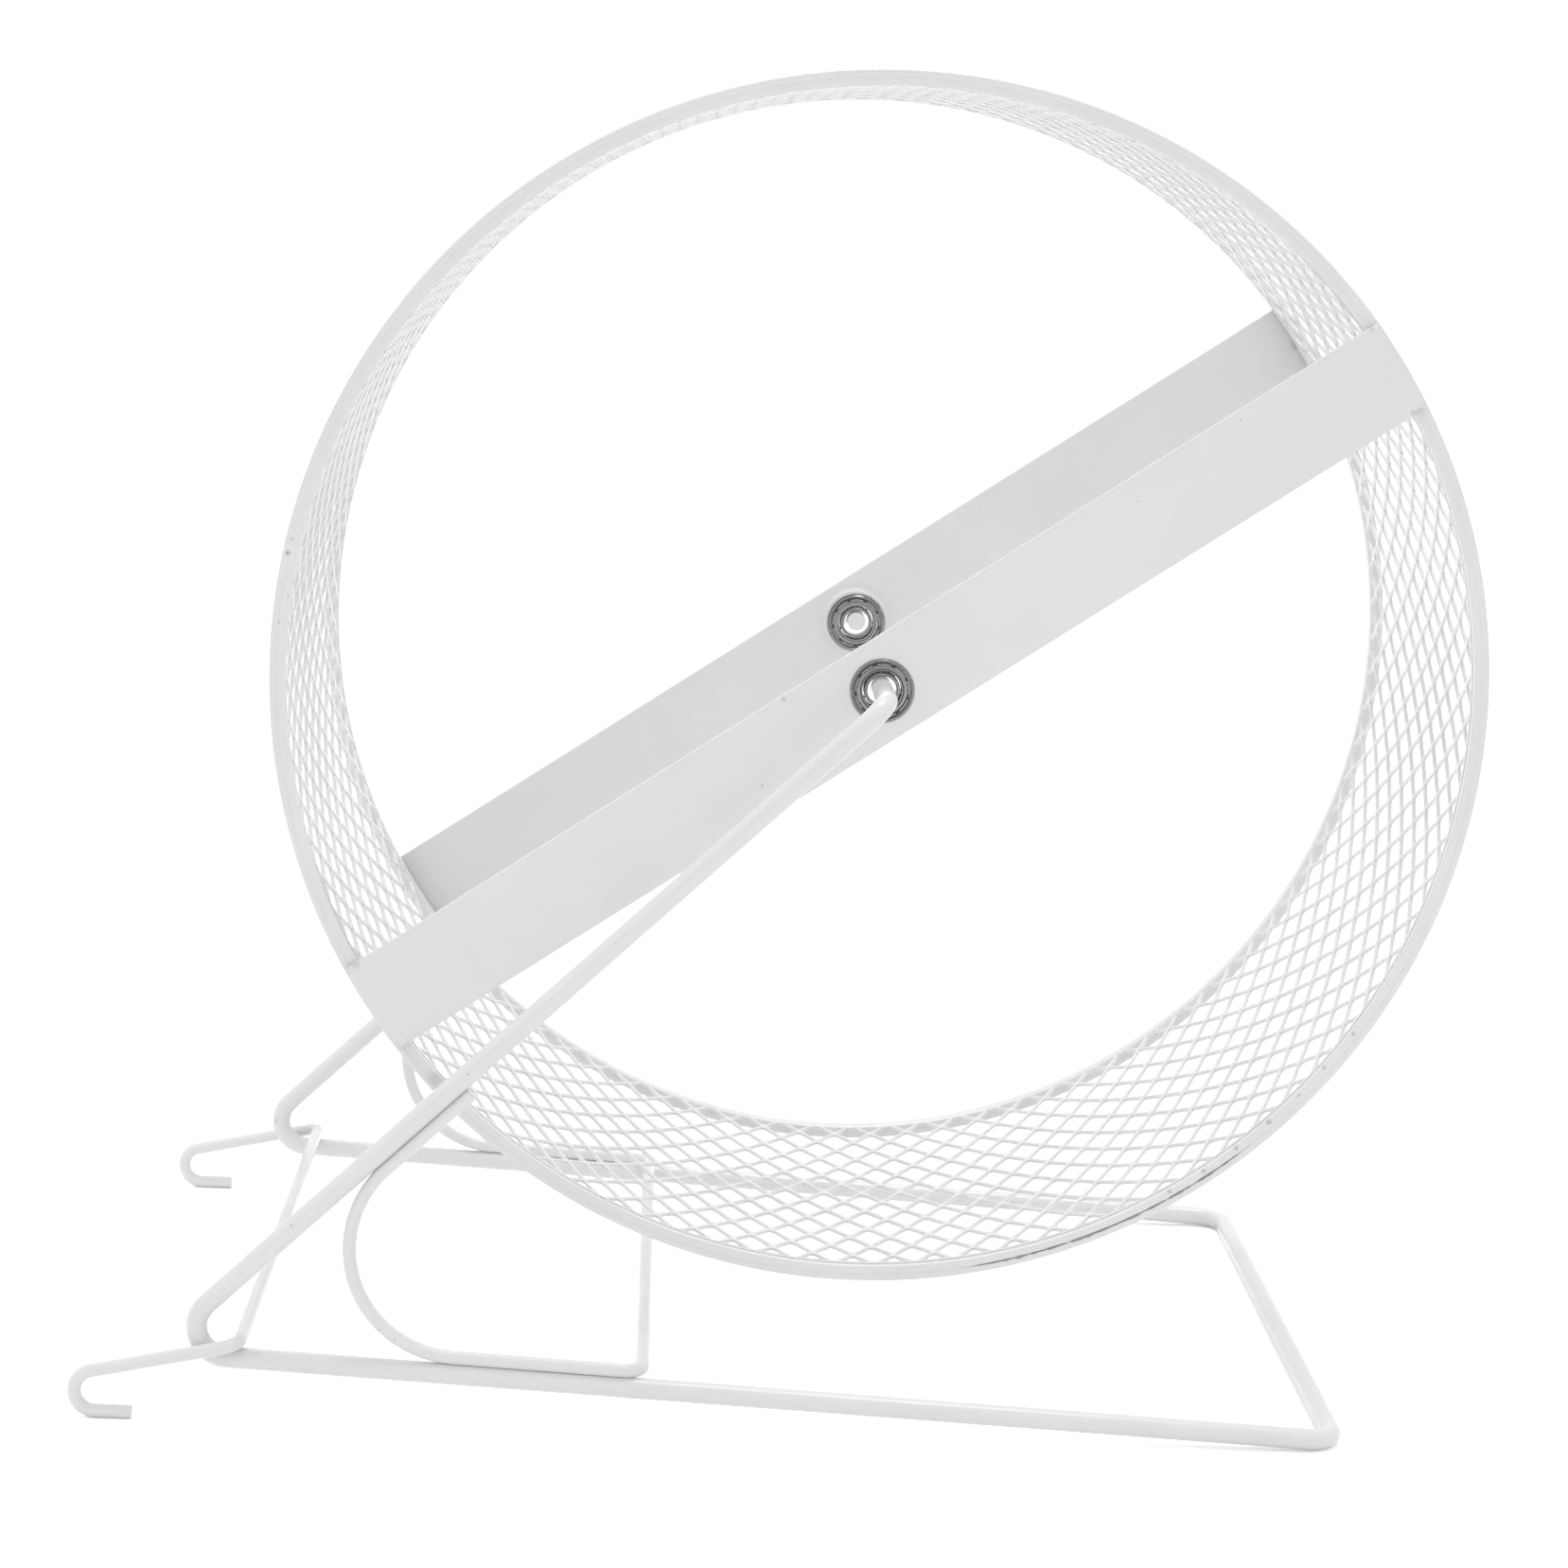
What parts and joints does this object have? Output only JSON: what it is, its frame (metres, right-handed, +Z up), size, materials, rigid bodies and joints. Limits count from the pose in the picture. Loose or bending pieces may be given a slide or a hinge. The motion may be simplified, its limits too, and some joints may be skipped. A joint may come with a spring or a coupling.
{
  "type": "hamster wheel",
  "caption": "Small pet's running wheel: an expanded metal drum with a flat crossbar and a ball bearing on each side, hung on a bent wire stand with hooks for a cage.",
  "frame": {"origin": "on the ground, under the middle of the whole object's box", "axes": "+Y along the wheel's axle from the front arm to the rear arm, +X towards the base's cross bar, away from the hooks, +Z up"},
  "size_m": [0.2842, 0.1834, 0.275],
  "materials": {
    "white_powder_coat": "smooth semi-gloss white powder coat on steel",
    "bearing_ring_steel": "ground bearing steel",
    "bearing_shield_steel": "pressed steel sheet",
    "bearing_cage_steel": "pressed steel ribbon",
    "bearing_ball_steel": "polished bearing ball"
  },
  "bodies": {
    "stand": {"stand_frame": "white_powder_coat", "brace_wire": "white_powder_coat", "hook_wire": "white_powder_coat", "front_bearing_inner_ring": "bearing_ring_steel", "rear_bearing_inner_ring": "bearing_ring_steel"},
    "wheel": {"running_mesh": "white_powder_coat", "front_rim": "white_powder_coat", "rear_rim": "white_powder_coat", "front_crossbar": "white_powder_coat", "rear_crossbar": "white_powder_coat", "front_bearing_outer_ring": "bearing_ring_steel", "front_bearing_outer_shield": "bearing_shield_steel", "front_bearing_inner_shield": "bearing_shield_steel", "rear_bearing_outer_ring": "bearing_ring_steel", "rear_bearing_outer_shield": "bearing_shield_steel", "rear_bearing_inner_shield": "bearing_shield_steel"},
    "front_balls": {"front_bearing_cage": "bearing_cage_steel", "front_bearing_ball_1": "bearing_ball_steel", "front_bearing_ball_2": "bearing_ball_steel", "front_bearing_ball_3": "bearing_ball_steel", "front_bearing_ball_4": "bearing_ball_steel", "front_bearing_ball_5": "bearing_ball_steel", "front_bearing_ball_6": "bearing_ball_steel", "front_bearing_ball_7": "bearing_ball_steel"},
    "rear_balls": {"rear_bearing_cage": "bearing_cage_steel", "rear_bearing_ball_1": "bearing_ball_steel", "rear_bearing_ball_2": "bearing_ball_steel", "rear_bearing_ball_3": "bearing_ball_steel", "rear_bearing_ball_4": "bearing_ball_steel", "rear_bearing_ball_5": "bearing_ball_steel", "rear_bearing_ball_6": "bearing_ball_steel", "rear_bearing_ball_7": "bearing_ball_steel"}
  },
  "joints": [
    {"name": "wheel_spin", "type": "hinge", "parent": "stand", "child": "wheel", "pos_m": [0.01709, 0, 0.14998], "axis": [0, 1, 0], "continuous": true},
    {"name": "front_balls_spin", "type": "hinge", "parent": "stand", "child": "front_balls", "pos_m": [0.01709, -0.0596, 0.14998], "axis": [0, 1, 0], "continuous": true},
    {"name": "rear_balls_spin", "type": "hinge", "parent": "stand", "child": "rear_balls", "pos_m": [0.01709, 0.0596, 0.14998], "axis": [0, 1, 0], "continuous": true}
  ],
  "couplings": [
    {"joint": "front_balls_spin", "follows": "wheel_spin", "ratio": 0.60526},
    {"joint": "rear_balls_spin", "follows": "wheel_spin", "ratio": 0.60526}
  ]
}
